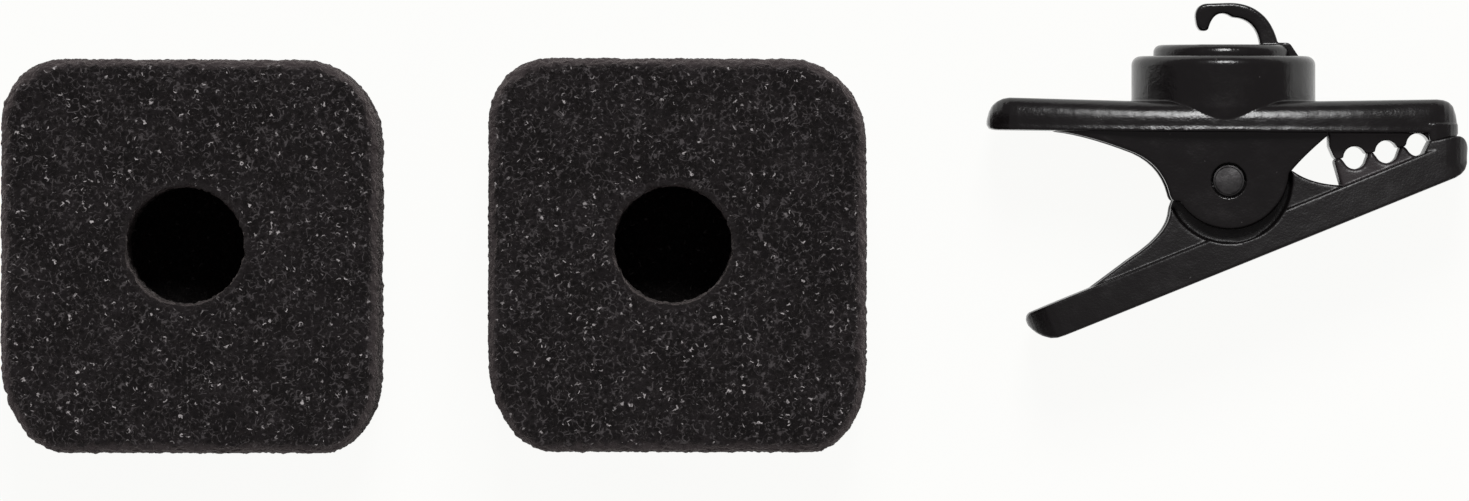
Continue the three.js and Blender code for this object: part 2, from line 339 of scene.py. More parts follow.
# %% Pressing the pores into the faces
PORES = [
    # pattern, size and depth in mm, and which part of the pattern keeps the surface where it was
    ("CLOUDS", 5.0, 0.16, 0.5),
    ("VORONOI", 0.62, -0.16, 0.35),
    ("CLOUDS", 0.42, 0.24, 0.5),
]


def press_pores(block):
    for number, (pattern, size, depth, level) in enumerate(PORES):
        texture = bpy.data.textures.new(f"{block.name}_pores_{number}", pattern)
        texture.noise_scale = size
        apply_modifier(block, "DISPLACE", texture=texture, strength=depth, mid_level=level,
                       texture_coords="LOCAL", direction="NORMAL")
    select_only(block)
    bpy.ops.object.shade_smooth()


windscreens = {}
for side in ("left", "right"):
    block, place = foam_block(f"{side}_foam", f"windscreen_{side}")
    press_pores(block)
    settle(block, place)
    windscreens[side] = block

# %% [markdown]
# ## Levers
# Each lever is one moulding: a long plate with cheeks or webs on its inner side. The plate is lofted: its
# cross-section is drawn at the tail, then extruded from station to station along the lever and resized
# at each, which gives the swelling in the middle and the rounded ends in one go.

# %% Lofting a plate through stations
PLATE_STATIONS = 44
HALF_WIDTH = 5.34  # at the hinge
END_HALF_WIDTH = 4.1
END_ROUND = 1.6  # corner of the plate's ends, seen from above
COLUMN_TALL = 20  # taller than the clip


def half_width(x, tail, jaw):
    """Half the width of a lever at x: a long spindle with rounded corners."""
    end = tail if x < 0 else jaw
    swell = x / (abs(end) - END_ROUND)
    width = HALF_WIDTH - (HALF_WIDTH - END_HALF_WIDTH) * swell**2
    to_go = min(abs(end - x) / END_ROUND, 1.0)
    return width - END_ROUND * (1 - math.sqrt(1 - (1 - to_go) ** 2))


def level(x, points):
    """The height at x of a line through points, straight between them."""
    for (x0, y0), (x1, y1) in zip(points, points[1:]):
        if x <= x1:
            return y0 + (y1 - y0) * max(x - x0, 0) / (x1 - x0)
    return points[-1][1]


def whole_section(side, thick):
    """A cross-section from its right half, in shares of the plate's half width and thickness."""
    right = [(across / HALF_WIDTH, up / thick) for across, up in side]
    return right + [(-across, up) for across, up in reversed(right)]


def loft(name, section, bottom, top):
    """Carries a cross-section from the first to the last x of the bottom line.

    The section goes from 0 to 1 upwards and from -1 to 1 across."""
    tail, jaw = bottom[0][0], bottom[-1][0]
    turns = [math.pi * i / PLATE_STATIONS for i in range(PLATE_STATIONS + 1)]
    stations = []
    for x in ((tail + jaw) / 2 - (jaw - tail) / 2 * math.cos(turn) for turn in turns):
        low = level(x, bottom)
        stations.append((x, low, level(x, top) - low, half_width(x, tail, jaw)))
    x, low, tall, half = stations[0]
    piece = draw(name, [Vector((x, low + up * tall, across * half)) for across, up in section])
    bpy.ops.mesh.edge_face_add()
    for station in stations[1:]:
        step = (station[0] - x, station[1] - low, 0)
        bpy.ops.mesh.extrude_region_move(TRANSFORM_OT_translate={"value": step})
        grow = (1, station[2] / tall, station[3] / half)
        x, low, tall, half = station
        bpy.ops.transform.resize(value=grow, center_override=(x, low, 0))
    bpy.ops.mesh.select_all(action="SELECT")
    bpy.ops.mesh.normals_make_consistent(inside=False)
    bpy.ops.object.mode_set(mode="OBJECT")
    return piece


def mould(name, parts, voxel, smooth, faces):
    """Melts overlapping parts into one skin with softened creases, of about that many faces."""
    select_only(*parts)
    bpy.ops.object.join()
    piece = bpy.context.object
    piece.name = name
    apply_modifier(piece, "REMESH", mode="VOXEL", voxel_size=voxel)
    apply_modifier(piece, "SMOOTH", factor=0.5, iterations=smooth)
    apply_modifier(piece, "DISPLACE", strength=MOULD_SKIN, mid_level=0.0)
    full = 2 * len(piece.data.polygons)
    if full > faces:
        apply_modifier(piece, "DECIMATE", ratio=faces / full)
    select_only(piece)
    bpy.ops.object.shade_smooth()
    return piece


def soften(piece, voxel, times):
    """Rounds every edge of a part, by even faces that are then smoothed."""
    apply_modifier(piece, "REMESH", mode="VOXEL", voxel_size=voxel)
    apply_modifier(piece, "SMOOTH", factor=0.5, iterations=times)
    return piece


def lever_end(name, steps, low_x, high_x):
    """The full-width nose of a jaw: an outline, cut to the plate's round end as seen from above."""
    nose = slab(name, steps, -HALF_WIDTH, HALF_WIDTH)
    deselect_all()
    middle = ((low_x + high_x) / 2, 0, 0)
    size = (high_x - low_x, COLUMN_TALL, 2 * END_HALF_WIDTH)
    bpy.ops.mesh.primitive_cube_add(size=1, location=middle, scale=size)
    bpy.ops.object.transform_apply(location=True, rotation=True, scale=True)
    column = bpy.context.object
    for across in (-END_HALF_WIDTH, END_HALF_WIDTH):
        pick_edges(column, lambda point: point.x > high_x - CLOSE and abs(point.z - across) < CLOSE)
        bpy.ops.mesh.bevel(offset=END_ROUND, segments=8, affect="EDGES")
        bpy.ops.object.mode_set(mode="OBJECT")
    apply_modifier(nose, "BOOLEAN", operation="INTERSECT", solver="EXACT", object=column)
    bpy.data.objects.remove(column)
    return nose


def both_sides(piece):
    """The same part again beyond the clip's middle plane."""
    apply_modifier(piece, "MIRROR", use_axis=(False, False, True), use_mirror_merge=False)


MOULD_VOXEL = 0.055
MOULD_SMOOTH = 2
MOULD_SKIN = 0.03  # what the smoothing takes off the edges
LEVER_FACES = 185000
SOFT_VOXEL, SOFT_TIMES = 0.09, 8  # rounds teeth and webs before they are melted in
PAST_SIDE = 7.0  # a cutter that ends here is clear of the widest plate
print("plates are lofted through", PLATE_STATIONS, "stations")

# %% [markdown]
# ## Upper lever
# The upper plate has a thin lip, a side that leans in above it and a shoulder that rounds over into the
# top. Lip and shoulder catch the light as two lines. On the plate stands the swivel boss, drawn as a
# cylinder whose top is inset and pushed down into a cup. Two cheeks hang below, and a narrow toothed
# block closes against the lower jaw.

# %% Cross-section with lip, leaning side and round shoulder
PLATE_THICK = 1.72
SHOULDER_TILT = 24  # how far the side leans in, in degrees, where the shoulder starts
SHOULDER_LINE = [(0.2, 0.0), (0.03, 0.0), (0.0, 0.02), (0.06, 0.30), (0.07, 0.44), (0.08, 0.58),
                 (0.1, 0.76), (0.14, 0.94), (0.205, 1.12)]  # how far in, how far up


def upper_section():
    """The lip and side, then the shoulder as an arc that meets both the side and the top smoothly."""
    side = [(HALF_WIDTH - inwards, up) for inwards, up in SHOULDER_LINE]
    inwards, up = SHOULDER_LINE[-1]
    brow = (PLATE_THICK - up) / (1 - math.sin(math.radians(SHOULDER_TILT)))
    middle = (HALF_WIDTH - inwards - brow * math.cos(math.radians(SHOULDER_TILT)), PLATE_THICK - brow)
    side += arc(middle, (brow, brow), SHOULDER_TILT, 90, 10)[1:]
    return whole_section(side, PLATE_THICK)


print("upper plate is", 2 * HALF_WIDTH, "mm wide and", PLATE_THICK, "mm thick")

# %% Where the jaws meet, and the notches between their teeth
JAW_START = (6.3, 1.24)
JAW_SLOPE = 0.19
JAW_GAP = 0.02  # closed by the skins of the two mouldings
JAW_HOLES = [(7.41, 1.33), (9.27, 1.68), (11.09, 2.09)]
JAW_HOLE_RADIUS = 0.7
NOSE_START = 9.0  # where the column that trims a nose starts
CUSP_REACH, CUSP_PULL = 0.88, 0.8  # half the lens that rounds the tooth tips, along the jaw and across
TOOTH_HALF_WIDTH = 2.6


def jaw_line(x):
    """The height at which the closed jaws meet."""
    return JAW_START[1] + JAW_SLOPE * (x - JAW_START[0])


def toothed(block):
    """Half-round notches in a tooth block, where a thin lead is gripped, with rounded tooth tips."""
    along = Vector((1, JAW_SLOPE)).normalized()
    up = Vector((-along.y, along.x))
    for hole in JAW_HOLES:
        middle = Vector(hole)
        left, right = middle - along * CUSP_REACH, middle + along * CUSP_REACH
        above, below = middle + up * CUSP_PULL, middle - up * CUSP_PULL
        almost_left = left.lerp(right, 0.02)  # a bow that ended on the start would double that point
        lens = [tuple(left), (tuple(above), tuple(right)), (tuple(below), tuple(almost_left))]
        notch = rod("notch", JAW_HOLE_RADIUS, -PAST_SIDE, PAST_SIDE, hole, 40)
        cut(block, notch, slab("cusps", lens, -PAST_SIDE, PAST_SIDE))
    return block


print("the closed teeth grip a lead", 2 * JAW_HOLE_RADIUS, "mm thick")

# %% Upper plate, nose and teeth
UPPER_TIP = 13.44
upper_bottom = [(-14.05, 3.28), (-13.9, 3.06), (-13.6, 3.0), (-5.5, 2.9), (5.5, 2.84), (UPPER_TIP, 2.8)]
upper_top = [(-14.05, 3.5), (-13.95, 3.95), (-13.75, 4.36), (-13.5, 4.6), (-13.2, 4.75), (-12.8, 4.82)]
upper_top += [(-5.6, 4.61), (5.1, 4.6), (12.3, 4.71), (12.75, 4.64), (13.05, 4.45), (13.25, 4.1)]
upper_top += [(13.34, 3.6), (UPPER_TIP, 2.95)]
upper_plate = loft("upper_plate", upper_section(), upper_bottom, upper_top)
upper_nose = lever_end("upper_nose", [
    (11.6, 3.3), (11.8, jaw_line(11.8) + JAW_GAP), (13.3, 2.56), (13.42, 2.75), (13.4, 3.3)],
    NOSE_START, UPPER_TIP)
upper_teeth = toothed(slab("upper_teeth", [
    (5.9, 3.4), (5.94, 2.0), (6.2, 1.4), (6.34, jaw_line(6.34) + JAW_GAP),
    (11.9, jaw_line(11.9) + JAW_GAP), (11.9, 3.4)], -TOOTH_HALF_WIDTH, TOOTH_HALF_WIDTH))

# %% Cheeks with their round lobes on the pin
PIN_HOLE = 1.05
CHEEK_INNER, CHEEK_OUTER = 3.3, 4.4
cheek_outline = [(-10.2, 3.3), (-10.1, 2.9), ((-8.3, 2.72), (-5.5, 1.64)), ((-3.85, 0.9), (-3.44, -0.75))]
cheek_outline += [((-3.35, -1.3), (-2.85, -1.2))]
cheek_outline += arc((0.08, 0.58), (3.42, 3.42), 211.5, 357, 24)
cheek_outline += [((4.3, 1.42), (5.86, 2.72)), (5.9, 3.3)]
cheeks = slab("cheeks", cheek_outline, CHEEK_INNER, CHEEK_OUTER, soft=0.12)
cut(cheeks, rod("pin_hole", PIN_HOLE, CHEEK_INNER - 0.3, CHEEK_OUTER + 0.6))
both_sides(cheeks)

# %% Swivel boss with its cup, and the whole lever
BOSS_RADIUS = HALF_WIDTH + 0.02
BOSS_LOW, BOSS_TOP = 4.25, 7.26
BOSS_FOOT = (-0.7, 0.978)  # how far it runs into the plate's shoulder, and how it narrows there
BOSS_EDGE = 0.5
CUP_RADIUS, CUP_FLOOR = 4.3, 5.4
STEM_HOLE = 1.4
STEM_HOLE_SPAN = (2.0, 6.0)  # from below the plate to above the cup's floor


def standing(name, radius, low, high, sides=128):
    """A cylinder on the swivel axis, which stands up along Y."""
    deselect_all()
    bpy.ops.mesh.primitive_cylinder_add(vertices=sides, radius=radius, depth=high - low,
                                        location=(swivel_x, (low + high) / 2, 0),
                                        rotation=(math.radians(-90), 0, 0))
    bpy.ops.object.transform_apply(location=True, rotation=True, scale=True)
    bpy.context.object.name = name
    return bpy.context.object


boss = standing("boss", BOSS_RADIUS, BOSS_LOW, BOSS_TOP)
pick_faces(boss, lambda middle, normal: normal.y < -0.9)
bpy.ops.mesh.extrude_region_move(TRANSFORM_OT_translate={"value": (0, BOSS_FOOT[0], 0)})
bpy.ops.transform.resize(value=(BOSS_FOOT[1], 1, BOSS_FOOT[1]), center_override=(swivel_x, 0, 0))
pick_faces(boss, lambda middle, normal: normal.y > 0.9)
bpy.ops.mesh.inset(thickness=BOSS_RADIUS - CUP_RADIUS)
bpy.ops.mesh.extrude_region_move(TRANSFORM_OT_translate={"value": (0, CUP_FLOOR - BOSS_TOP, 0)})
bpy.ops.object.mode_set(mode="OBJECT")


def on_rim(point):
    reach = math.hypot(point.x - swivel_x, point.z)
    return abs(point.y - BOSS_TOP) < CLOSE and reach > (BOSS_RADIUS + CUP_RADIUS) / 2


pick_edges(boss, on_rim)
bpy.ops.mesh.bevel(offset=BOSS_EDGE, segments=8, affect="EDGES")
bpy.ops.object.mode_set(mode="OBJECT")
for part in (boss, upper_plate):
    cut(part, standing("stem_hole", STEM_HOLE, *STEM_HOLE_SPAN, 48))
upper_lever = mould("upper_lever_moulding", [upper_plate, upper_nose, upper_teeth, cheeks, boss],
                    MOULD_VOXEL, MOULD_SMOOTH, LEVER_FACES)
settle(upper_lever, hinge)

# %% [markdown]
# ## Lower lever
# The lower plate has a plain flat rim. It is lofted level, as it leaves the tool, and turned by the closed
# angle before its other parts are drawn in their closed places. Ears on the pin stand inside the cheeks,
# and a web on each side fills the angle between plate and cheek, with a round recess in which the cheek
# turns.

# %% Lower plate, turned to the closed angle
CLOSED_ANGLE = 22
RIM_SOFT = 0.08
LOWER_THICK = 1.95
LOWER_TIP = 14.0


def lower_section():
    """A flat rim with two small rounds."""
    side = arc((HALF_WIDTH - RIM_SOFT, RIM_SOFT), (RIM_SOFT, RIM_SOFT), -90, 0, 4)
    side += arc((HALF_WIDTH - RIM_SOFT, LOWER_THICK - RIM_SOFT), (RIM_SOFT, RIM_SOFT), 0, 90, 4)
    return whole_section(side, LOWER_THICK)


lower_bottom = [(-13.95, -3.5), (-13.75, -3.95), (-13.5, -4.3), (-13.15, -4.6), (-12.7, -4.76)]
lower_bottom += [(-12.2, -4.79), (12.4, -4.79), (12.85, -4.7), (13.15, -4.5), (13.35, -4.2), (13.6, -3.5)]
lower_top = [(-13.95, -3.2), (-13.85, -2.98), (-13.65, -2.86), (-12.0, -2.84), (11.3, -2.86)]
lower_top += [(13.2, -2.86), (13.45, -2.95), (13.6, -3.2)]
lower_plate = loft("lower_plate", lower_section(), lower_bottom, lower_top)
lower_plate.matrix_world = Matrix.Rotation(math.radians(CLOSED_ANGLE), 4, "Z")
bpy.ops.object.transform_apply(location=True, rotation=True, scale=True)

lower_nose = lever_end("lower_nose", [
    (11.3, 1.2), (11.62, 1.9), (11.8, jaw_line(11.8) - JAW_GAP), (13.4, 2.57),
    ((13.9, 2.55), (13.97, 1.9)), (13.9, 1.0), (13.6, 0.6), (12.0, 0.8)],
    NOSE_START, LOWER_TIP)
lower_teeth = toothed(slab("lower_teeth", [
    (11.9, 1.4), (6.9, -0.6), (6.64, -0.3), (6.2, jaw_line(6.2)), (11.9, jaw_line(11.9))],
    -TOOTH_HALF_WIDTH, TOOTH_HALF_WIDTH))
soften(lower_teeth, SOFT_VOXEL, SOFT_TIMES)

# %% Webs, recess and ears, and the whole lever
RECESS = 3.72
RECESS_FLOOR = 3.2
EAR_INNER, EAR_OUTER = 2.0, 3.1
EAR_RADIUS = 2.75
WEB_OUTER = 4.15
PIN_BORE = 0.87
HAIR = 0.01  # the ears' rounds are thinner by this, so that no two faces coincide
web_outline = [(-8.3, -6.6), (-8.0, -6.27), (-5.81, -4.64), ((-3.3, -3.05), (-3.38, -1.6)), (-3.0, -0.6)]
web_outline += [(3.6, 0.62), ((4.7, -0.25), (6.6, -0.32)), (7.4, -0.6), (2.0, -3.2)]
webs = slab("webs", web_outline, EAR_INNER, WEB_OUTER)
ear_outline = [(-2.75, 0), (2.75, 0), (3.2, -2.4), (-3.0, -4.4)]
ears = slab("ears", ear_outline, EAR_INNER, EAR_OUTER)
ear_rounds = rod("ear_rounds", EAR_RADIUS, EAR_INNER + HAIR, EAR_OUTER - HAIR)
for part in (webs, lower_plate):
    cut(part, rod("recess", RECESS, RECESS_FLOOR, PAST_SIDE, sides=128))
cut(lower_plate, rod("recess", RECESS, -PAST_SIDE, -RECESS_FLOOR, sides=128))
soften(webs, SOFT_VOXEL, SOFT_TIMES)
for part in (ears, ear_rounds):
    cut(part, rod("bore", PIN_BORE, EAR_INNER - 1, EAR_OUTER + 1))
for part in (ears, ear_rounds, webs):
    both_sides(part)
lower_lever = mould("lower_lever_moulding", [lower_plate, lower_nose, lower_teeth, webs, ears, ear_rounds],
                    MOULD_VOXEL, MOULD_SMOOTH, LEVER_FACES)
settle(lower_lever, hinge)

# %% [markdown]
# ## Hinge pin
# A short steel pin turned through the cheeks and ears. A cylinder with a bevelled rim at each end is the
# real shape, and its end face gets a shallow dimple where it was staked.

# %% Pin with bevelled, staked ends
PIN_RADIUS = 0.84
PIN_HALF = 4.15
PIN_BEVEL = 0.16
DIMPLE_RIM, DIMPLE_DEPTH = 0.22, 0.06
pin = rod("steel_pin", PIN_RADIUS, -PIN_HALF, PIN_HALF)
for end in (-1, 1):
    pick_faces(pin, lambda middle, normal: normal.z * end > 0.9)
    bpy.ops.mesh.bevel(offset=PIN_BEVEL, segments=4, affect="EDGES")
    bpy.ops.mesh.inset(thickness=DIMPLE_RIM)
    bpy.ops.mesh.extrude_region_move(TRANSFORM_OT_translate={"value": (0, 0, -DIMPLE_DEPTH * end)})
    bpy.ops.object.mode_set(mode="OBJECT")
select_only(pin)
bpy.ops.object.shade_smooth_by_angle(angle=math.radians(35))
settle(pin, hinge)

# %% [markdown]
# ## Torsion spring
# A spring is a wire along a line: a straight leg under each handle, joined by a coil round the pin. The
# centre line is drawn as a chain of points from a loop, turned into a curve for its thickness, and
# turned back into a mesh.

# %% Spring wire round the pin
WIRE = 0.3  # the wire's radius
COIL = 1.45  # the coil's radius, to the middle of the wire
COIL_TURNS = 4
COIL_HALF = 1.4
TURN_STEPS = 28
leg_ends = [Vector((-6.2, 2.35)), Vector((-5.8, -4.93))]
# each leg meets the coil as a tangent, which sets the angles at which the coil starts and stops
bearings = [math.atan2(end.y, end.x) for end in leg_ends]
leans = [math.acos(COIL / end.length) for end in leg_ends]
first = bearings[0] - leans[0]
last = bearings[1] + leans[1] - 2 * math.pi * COIL_TURNS
wire_line = [Vector((*leg_ends[0], -COIL_HALF))]
for count in range(COIL_TURNS * TURN_STEPS + 1):
    share = count / (COIL_TURNS * TURN_STEPS)
    angle = first + (last - first) * share
    wire_line.append(Vector((COIL * math.cos(angle), COIL * math.sin(angle), COIL_HALF * (2 * share - 1))))
wire_line.append(Vector((*leg_ends[1], COIL_HALF)))
spring = draw("spring_wire", wire_line)
bpy.ops.object.mode_set(mode="OBJECT")
bpy.ops.object.convert(target="CURVE")
spring = bpy.context.object
spring.data.bevel_depth = WIRE
spring.data.bevel_resolution = 4
spring.data.use_fill_caps = True
bpy.ops.object.convert(target="MESH")
spring = bpy.context.object
select_only(spring)
bpy.ops.object.shade_smooth_by_angle(angle=math.radians(40))
settle(spring, hinge)

# %% [markdown]
# ## Cable hook
# The rotor snaps into the boss and turns there. Its disc and barbed stem are one turned profile, spun
# round the swivel axis, and the open hook for the cable is an outline with well rounded edges.

# %% Spun disc and stem, with the hook
ROTOR_RADIUS = 4.08
ROTOR_LOW, ROTOR_TOP = 5.6, 7.92
ROTOR_EDGE = 0.42
STEM, BARB = 1.15, 1.62
STEM_FOOT, BARB_LOW, BARB_TOP = 2.0, 2.4, 2.6
SLOT_HALF, SLOT_TOP = 0.35, 4.9
SPIN_STEPS = 96
HOOK_HALF = 1.5
HOOK_VOXEL, HOOK_TIMES = 0.08, 5
HOOK_FACES = 120000
rotor_profile = [(0, STEM_FOOT), (STEM - 0.1, STEM_FOOT), (BARB, BARB_LOW), (BARB, BARB_TOP)]
rotor_profile += [(STEM, BARB_TOP), (STEM, ROTOR_LOW), (ROTOR_RADIUS, ROTOR_LOW)]
rim_middle = (ROTOR_RADIUS - ROTOR_EDGE, ROTOR_TOP - ROTOR_EDGE)
rotor_profile += arc(rim_middle, (ROTOR_EDGE, ROTOR_EDGE), 0, 90, 6)
rotor_profile += [(0, ROTOR_TOP)]
rotor = draw("rotor", [Vector((swivel_x + reach, up, 0)) for reach, up in rotor_profile])
bpy.ops.mesh.spin(steps=SPIN_STEPS, angle=2 * math.pi, center=(swivel_x, 0, 0), axis=(0, 1, 0))
bpy.ops.mesh.select_all(action="SELECT")
bpy.ops.mesh.remove_doubles(threshold=0.001)
bpy.ops.mesh.normals_make_consistent(inside=False)
bpy.ops.object.mode_set(mode="OBJECT")
slot_low, slot_left, slot_right = STEM_FOOT - 0.5, swivel_x - SLOT_HALF, swivel_x + SLOT_HALF
slot_outline = [(slot_left, slot_low), (slot_right, slot_low)]
slot_outline += [(slot_right, SLOT_TOP), (slot_left, SLOT_TOP)]
cut(rotor, slab("stem_slot", slot_outline, -2 * BARB, 2 * BARB))

hook_outline = [(3.0, 7.7), ((2.7, 9.2), (1.9, 9.8)), ((1.25, 10.34), (0.2, 10.38)), (-1.3, 10.33)]
hook_outline += [((-1.85, 10.25), (-1.87, 9.6)), (-1.8, 9.1), (-1.62, 8.8), (-1.18, 8.8)]
hook_outline += [((-0.95, 9.82), (-0.3, 9.83)), ((0.03, 9.8), (0.25, 9.6)), ((1.84, 9.55), (1.96, 7.7))]
hook = soften(slab("hook", hook_outline, -HOOK_HALF, HOOK_HALF), HOOK_VOXEL, HOOK_TIMES)
buttress = slab("buttress", [(2.0, 7.1), (4.2, 7.1), (4.12, 7.28), (3.66, 7.96), (3.5, 8.04), (2.0, 8.06)],
                -HOOK_HALF, HOOK_HALF)
cable_hook = mould("cable_hook_moulding", [rotor, hook, buttress], MOULD_VOXEL, MOULD_SMOOTH, HOOK_FACES)
settle(cable_hook, hinge)

# %% [markdown]
# ## Building materials from nodes
# Every material here is worked out by nodes from Object coordinates in millimetres, so that grain and
# pores have their real size and stay put when a piece moves. These helpers add a node with its settings
# and connect it in one line.


# %% Node helpers
class Finish:
    """A material under construction: its nodes, its links and its shader."""

    def __init__(self, name):
        self.material = bpy.data.materials.new(name)
        self.material.use_nodes = True
        self.tree = self.material.node_tree
        self.shader = self.tree.nodes["Principled BSDF"]
        coordinates = self.tree.nodes.new("ShaderNodeTexCoord")
        self.mm = self.add("ShaderNodeMapping", {"Vector": coordinates.outputs["Object"],
                                                 "Scale": (1 / MM, 1 / MM, 1 / MM)}).outputs[0]

    def feed(self, socket, value):
        """Gives a socket a plain value, or links another node's output to it."""
        if isinstance(value, bpy.types.NodeSocket):
            self.tree.links.new(value, socket)
        else:
            socket.default_value = value

    def add(self, kind, inputs, **settings):
        node = self.tree.nodes.new(kind)
        for setting, value in settings.items():
            setattr(node, setting, value)
        for name, value in inputs.items():
            self.feed(node.inputs[name], value)
        return node

    def noise(self, where, scale, detail=2.0, rough=0.5):
        inputs = {"Vector": where, "Scale": scale, "Detail": detail, "Roughness": rough}
        return self.add("ShaderNodeTexNoise", inputs)

    def cells(self, where, scale, feature="F1"):
        inputs = {"Vector": where, "Scale": scale}
        return self.add("ShaderNodeTexVoronoi", inputs, feature=feature)

    def ramp(self, value, low, high, start=0.0, end=1.0):
        """Maps low..high to start..end, and holds it there beyond."""
        inputs = {"Value": value, "From Min": low, "From Max": high, "To Min": start, "To Max": end}
        return self.add("ShaderNodeMapRange", inputs, interpolation_type="SMOOTHSTEP").outputs[0]

    def maths(self, operation, first, second):
        return self.add("ShaderNodeMath", {0: first, 1: second}, operation=operation).outputs[0]

    def mix(self, share, first, second):
        """Colours mixed: a Mix node keeps its colour sockets at 6 and 7, and their output at 2."""
        return self.add("ShaderNodeMix", {0: share, 6: first, 7: second}, data_type="RGBA").outputs[2]

    def shift(self, where, scale, amount):
        """Pushes the coordinates about by a noise, so that a regular pattern goes astray."""
        noise = self.noise(where, scale).outputs["Color"]
        centred = self.add("ShaderNodeVectorMath", {0: noise, 1: (0.5, 0.5, 0.5)}, operation="SUBTRACT")
        inputs = {0: centred.outputs[0], 1: (amount, amount, amount), 2: where}
        return self.add("ShaderNodeVectorMath", inputs, operation="MULTIPLY_ADD").outputs[0]

    def threads(self, scale, width):
        """Thin winding lines, where a smooth noise crosses its middle."""
        noise = self.noise(self.mm, scale, 1).outputs["Fac"]
        apart = self.maths("ABSOLUTE", self.maths("SUBTRACT", noise, 0.5), 0.0)
        return self.ramp(apart, width * 0.3, width, 1, 0)

    def bump(self, height, distance, under=None):
        inputs = {"Height": height, "Distance": distance * MM}
        if under is not None:
            inputs["Normal"] = under
        return self.add("ShaderNodeBump", inputs).outputs[0]

    def set(self, **inputs):
        for name, value in inputs.items():
            self.feed(self.shader.inputs[name.replace("_", " ")], value)


def dress(piece, material):
    """Gives a piece one material all over."""
    piece.data.materials.clear()
    piece.data.materials.append(material)


print("node helpers ready")

# %% [markdown]
# ## Foam finish
# Black open-cell foam is nearly black inside its cells, and that shade is painted in as dark pits. The
# struts between them are painted a little lighter, where light falls on them, and here and there one
# catches the light as a painted bright fleck, a glint. Cell patterns give struts, winding threads cut
# short by spots give the flecks. The drilled mouth has a paler ring, where the cutter closed the cells,
# and the rounded edge round the face gets a painted sheen, a paler, browner border.

# %% Open-cell foam
FOAM_DARK = (0.0074, 0.0062, 0.0066, 1)
FOAM_MID = (0.0155, 0.0132, 0.0140, 1)
RING_GREY = (0.0190, 0.0165, 0.0170, 1)
# painted shade: the hollows of the open cells are painted darker
PIT_SHADE = (0.0035, 0.0030, 0.0031, 1)
# painted highlight: struts and threads where light falls on them are painted lighter
STRUT_LIT_GREY = (0.080, 0.073, 0.075, 1)
# painted glints: light caught on struts, painted in as pale flecks
FLECKS = [
    # how many to the millimetre, how far each reaches as a share of its cell, and its grey
    (3.2, 0.42, (0.085, 0.079, 0.081, 1)),
    (2.3, 0.36, (0.58, 0.55, 0.55, 1)),
]
CELLS = 2.6  # to the millimetre
RING_WIDTH = 0.45
# painted sheen: the rounded edge round the face catches light, painted as a paler, browner band
EDGE_SHEEN_BROWN = (0.0600, 0.0500, 0.0510, 1)
EDGE_HEIGHTS = [(16.3, 17.0), (17.55, 17.82)]  # where the paler band round the face starts and stops


def foam_finish(side, socket_middle):
    foam = Finish(f"black_open_cell_foam_{side}")
    astray = foam.shift(foam.mm, 2.4, 0.4)
    # wide patches, a little lighter and darker
    patches = foam.ramp(foam.noise(foam.mm, 0.4, 4, 0.6).outputs["Fac"], 0.35, 0.66)
    colour = foam.mix(patches, FOAM_DARK, FOAM_MID)

    # painted shade: dark pits in the middle of the cells
    cells = foam.cells(astray, CELLS)
    pits = foam.ramp(cells.outputs["Distance"], 0.15, 0.5, 0.75, 0)
    colour = foam.mix(pits, colour, PIT_SHADE)

    # painted highlight: broken lit struts along the cells' walls
    walls = foam.cells(astray, CELLS, "DISTANCE_TO_EDGE").outputs["Distance"]
    struts = foam.ramp(walls, 0.02, 0.12, 1, 0)
    broken = foam.ramp(foam.noise(foam.mm, CELLS, 3, 0.6).outputs["Fac"], 0.49, 0.66)
    colour = foam.mix(foam.maths("MULTIPLY", struts, broken), colour, STRUT_LIT_GREY)

    # painted highlight: longer lit threads, seen in stretches
    threads = foam.threads(1.5, 0.035)
    stretches = foam.ramp(foam.noise(foam.mm, 1.9, 2).outputs["Fac"], 0.50, 0.60)
    colour = foam.mix(foam.maths("MULTIPLY", threads, stretches), colour, STRUT_LIT_GREY)

    # painted glints: faint and bright flecks where light catches a strut
    for density, reach, grey in FLECKS:
        fleck_cells = foam.cells(foam.shift(foam.mm, 4.0, 0.34), density)
        spots = foam.ramp(fleck_cells.outputs["Distance"], reach * 0.6, reach, 1, 0)
        chosen = foam.add("ShaderNodeSeparateColor", {"Color": fleck_cells.outputs["Color"]})
        bright = foam.ramp(chosen.outputs[0], 0.25, 1.0)
        dashes = foam.maths("MULTIPLY", spots, foam.threads(density, 0.05))
        colour = foam.mix(foam.maths("MULTIPLY", dashes, bright), colour, grey)

    # the ring round the drilled mouth, and the painted sheen of the border on the rounded edge
    flat = foam.add("ShaderNodeMapping", {"Vector": foam.mm, "Scale": (1, 1, 0),
                                          "Location": (-socket_middle.x, -socket_middle.y, 0)}).outputs[0]
    reach = foam.add("ShaderNodeVectorMath", {0: flat}, operation="LENGTH").outputs["Value"]
    ring = foam.ramp(reach, SOCKET_RADIUS + RING_WIDTH / 2, SOCKET_RADIUS + RING_WIDTH, 0.7, 0)
    colour = foam.mix(ring, colour, RING_GREY)
    height = foam.add("ShaderNodeSeparateXYZ", {"Vector": foam.mm}).outputs["Z"]
    above, below = foam.ramp(height, *EDGE_HEIGHTS[0], 0, 0.9), foam.ramp(height, *EDGE_HEIGHTS[1], 1, 0)
    colour = foam.mix(foam.maths("MULTIPLY", above, below), colour, EDGE_SHEEN_BROWN)

    grain = foam.noise(astray, 5.0, 3).outputs["Fac"]
    relief = foam.bump(grain, 0.12)
    relief = foam.bump(walls, 0.18, relief)
    foam.set(Base_Color=colour, Roughness=0.95, Specular_IOR_Level=0.15, Normal=relief)
    foam.set(Sheen_Weight=0.20, Sheen_Roughness=0.5, Sheen_Tint=(1.0, 0.88, 0.85, 1))
    return foam.material


for side, block in windscreens.items():
    low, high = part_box(f"windscreen_{side}")
    socket_middle = (low + high) / 2 / MM + Vector((*SOCKET_MIDDLE, 0))
    dress(block, foam_finish(side, socket_middle))
print("foam finish on", len(windscreens), "windscreens")
